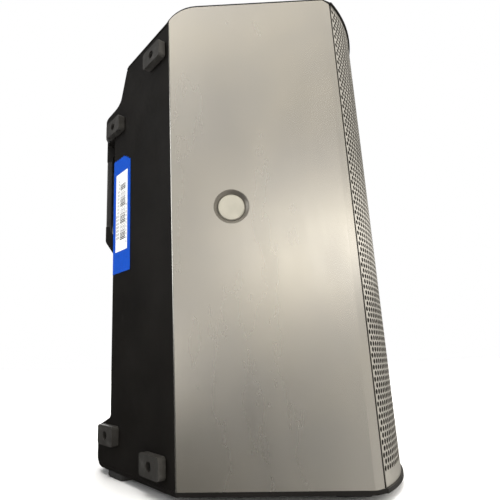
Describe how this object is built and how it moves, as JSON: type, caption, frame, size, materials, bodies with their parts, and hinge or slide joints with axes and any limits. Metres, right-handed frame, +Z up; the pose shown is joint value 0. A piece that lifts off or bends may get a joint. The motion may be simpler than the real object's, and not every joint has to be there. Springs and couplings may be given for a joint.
{
  "type": "loudspeaker cabinet",
  "caption": "Powered stage loudspeaker: upright cabinet with a curved perforated front, bent silver side panels, angled black rear sides with wedge feet, rear handle and amplifier panel.",
  "frame": {"origin": "on the floor, under the middle of the cabinet's bounding box", "axes": "+Z up, -Y out of the front grille, +Y rear with handle and amplifier panel, +X the cabinet's right side panel seen from behind the grille looking back"},
  "size_m": [0.3, 0.3432, 0.52],
  "materials": {
    "shell_black": "fine moulded texture, satin",
    "silver_panel": "satin silver sheet",
    "cap_black": "fine moulded texture",
    "baffle_board": "board painted black",
    "grille_silver": "perforated steel, satin silver",
    "foam": "open acoustic foam",
    "driver_frame": "cast frame, black",
    "magnet": "ferrite and steel",
    "rubber": "matt",
    "cone_paper": "coated paper",
    "black_plastic": "moulded",
    "dome_metal": "satin",
    "wood_brace": "plain",
    "wadding": "loose fibre",
    "silver_plastic": "satin silver",
    "steel": "zinc plated",
    "grey_rubber": "hard grey rubber",
    "black_steel": "black finish",
    "heat_sink_metal": "black anodised",
    "board_green": "circuit board",
    "copper": "wound wire",
    "knob_black": "soft satin",
    "button_grey": "satin",
    "rocker_red": "gloss",
    "light_green": "clear lens",
    "tape_blue": "creped tape with a white tag"
  },
  "bodies": {
    "cabinet": {"rear_shell": "shell_black", "side_panel_left": "silver_panel", "side_panel_right": "silver_panel", "top_cap": "cap_black", "bottom_cap": "cap_black", "front_baffle": "baffle_board", "grille": "grille_silver", "grille_foam": "foam", "woofer_frame_lower": "driver_frame", "woofer_frame_upper": "driver_frame", "woofer_magnet_lower": "magnet", "woofer_magnet_upper": "magnet", "woofer_surround_lower": "rubber", "woofer_surround_upper": "rubber", "line_plate": "black_plastic", "line_domes": "dome_metal", "line_magnets": "magnet", "port_tubes": "black_plastic", "cross_braces": "wood_brace", "damping_pads": "wadding", "fly_cups": "silver_plastic", "fly_plugs": "silver_plastic", "fly_inserts": "steel", "monitor_feet": "grey_rubber", "monitor_foot_screws": "black_steel", "floor_feet": "rubber", "floor_foot_screws": "steel", "pole_socket": "black_plastic", "handle_bar": "black_plastic", "handle_grip": "rubber", "handle_screws": "black_steel", "handle_pocket": "black_plastic", "amp_panel": "black_steel", "amp_gasket": "rubber", "amp_chassis": "steel", "heat_sink": "heat_sink_metal", "circuit_board": "board_green", "transformer": "copper", "amp_screws": "black_steel", "control_pots": "steel", "button_housings": "black_plastic", "input_jacks": "black_plastic", "line_output": "black_plastic", "rocker_housing": "black_plastic", "mains_inlet": "black_plastic", "status_lights": "light_green", "tape_label": "tape_blue"},
    "gain_1_knob": {"gain_1_knob": "knob_black"},
    "gain_2_knob": {"gain_2_knob": "knob_black"},
    "treble_knob": {"treble_knob": "knob_black"},
    "bass_knob": {"bass_knob": "knob_black"},
    "input_1_button": {"input_1_button": "button_grey"},
    "input_2_button": {"input_2_button": "button_grey"},
    "jack_1_latch": {"jack_1_latch": "steel"},
    "jack_2_latch": {"jack_2_latch": "steel"},
    "power_rocker": {"power_rocker": "rocker_red"},
    "woofer_cone_lower": {"woofer_cone_lower": "cone_paper", "dust_cap_lower": "cone_paper"},
    "woofer_cone_upper": {"woofer_cone_upper": "cone_paper", "dust_cap_upper": "cone_paper"}
  },
  "joints": [
    {"name": "gain_1_turn", "type": "hinge", "parent": "cabinet", "child": "gain_1_knob", "pos_m": [-0.022, 0.14292, 0.198], "axis": [0, 1, 0], "range_deg": [-140, 140]},
    {"name": "gain_2_turn", "type": "hinge", "parent": "cabinet", "child": "gain_2_knob", "pos_m": [0.022, 0.14292, 0.198], "axis": [0, 1, 0], "range_deg": [-140, 140]},
    {"name": "treble_turn", "type": "hinge", "parent": "cabinet", "child": "treble_knob", "pos_m": [-0.022, 0.14292, 0.174], "axis": [0, 1, 0], "range_deg": [-140, 140]},
    {"name": "bass_turn", "type": "hinge", "parent": "cabinet", "child": "bass_knob", "pos_m": [0.022, 0.14292, 0.174], "axis": [0, 1, 0], "range_deg": [-140, 140]},
    {"name": "input_1_push", "type": "slide", "parent": "cabinet", "child": "input_1_button", "axis": [0, -1, 0], "range_m": [0, 0.002], "stiffness_N_per_m": 300},
    {"name": "input_2_push", "type": "slide", "parent": "cabinet", "child": "input_2_button", "axis": [0, -1, 0], "range_m": [0, 0.002], "stiffness_N_per_m": 300},
    {"name": "jack_1_latch_push", "type": "slide", "parent": "cabinet", "child": "jack_1_latch", "axis": [0, -1, 0], "range_m": [0, 0.0012], "stiffness_N_per_m": 400},
    {"name": "jack_2_latch_push", "type": "slide", "parent": "cabinet", "child": "jack_2_latch", "axis": [0, -1, 0], "range_m": [0, 0.0012], "stiffness_N_per_m": 400},
    {"name": "power_switch", "type": "hinge", "parent": "cabinet", "child": "power_rocker", "pos_m": [0.021, 0.14092, 0.112], "axis": [1, 0, 0], "range_deg": [-14, 0]},
    {"name": "cone_lower_stroke", "type": "slide", "parent": "cabinet", "child": "woofer_cone_lower", "axis": [0, -1, 0], "range_m": [-0.004, 0.004], "stiffness_N_per_m": 1500},
    {"name": "cone_upper_stroke", "type": "slide", "parent": "cabinet", "child": "woofer_cone_upper", "axis": [0, -1, 0], "range_m": [-0.004, 0.004], "stiffness_N_per_m": 1500}
  ]
}
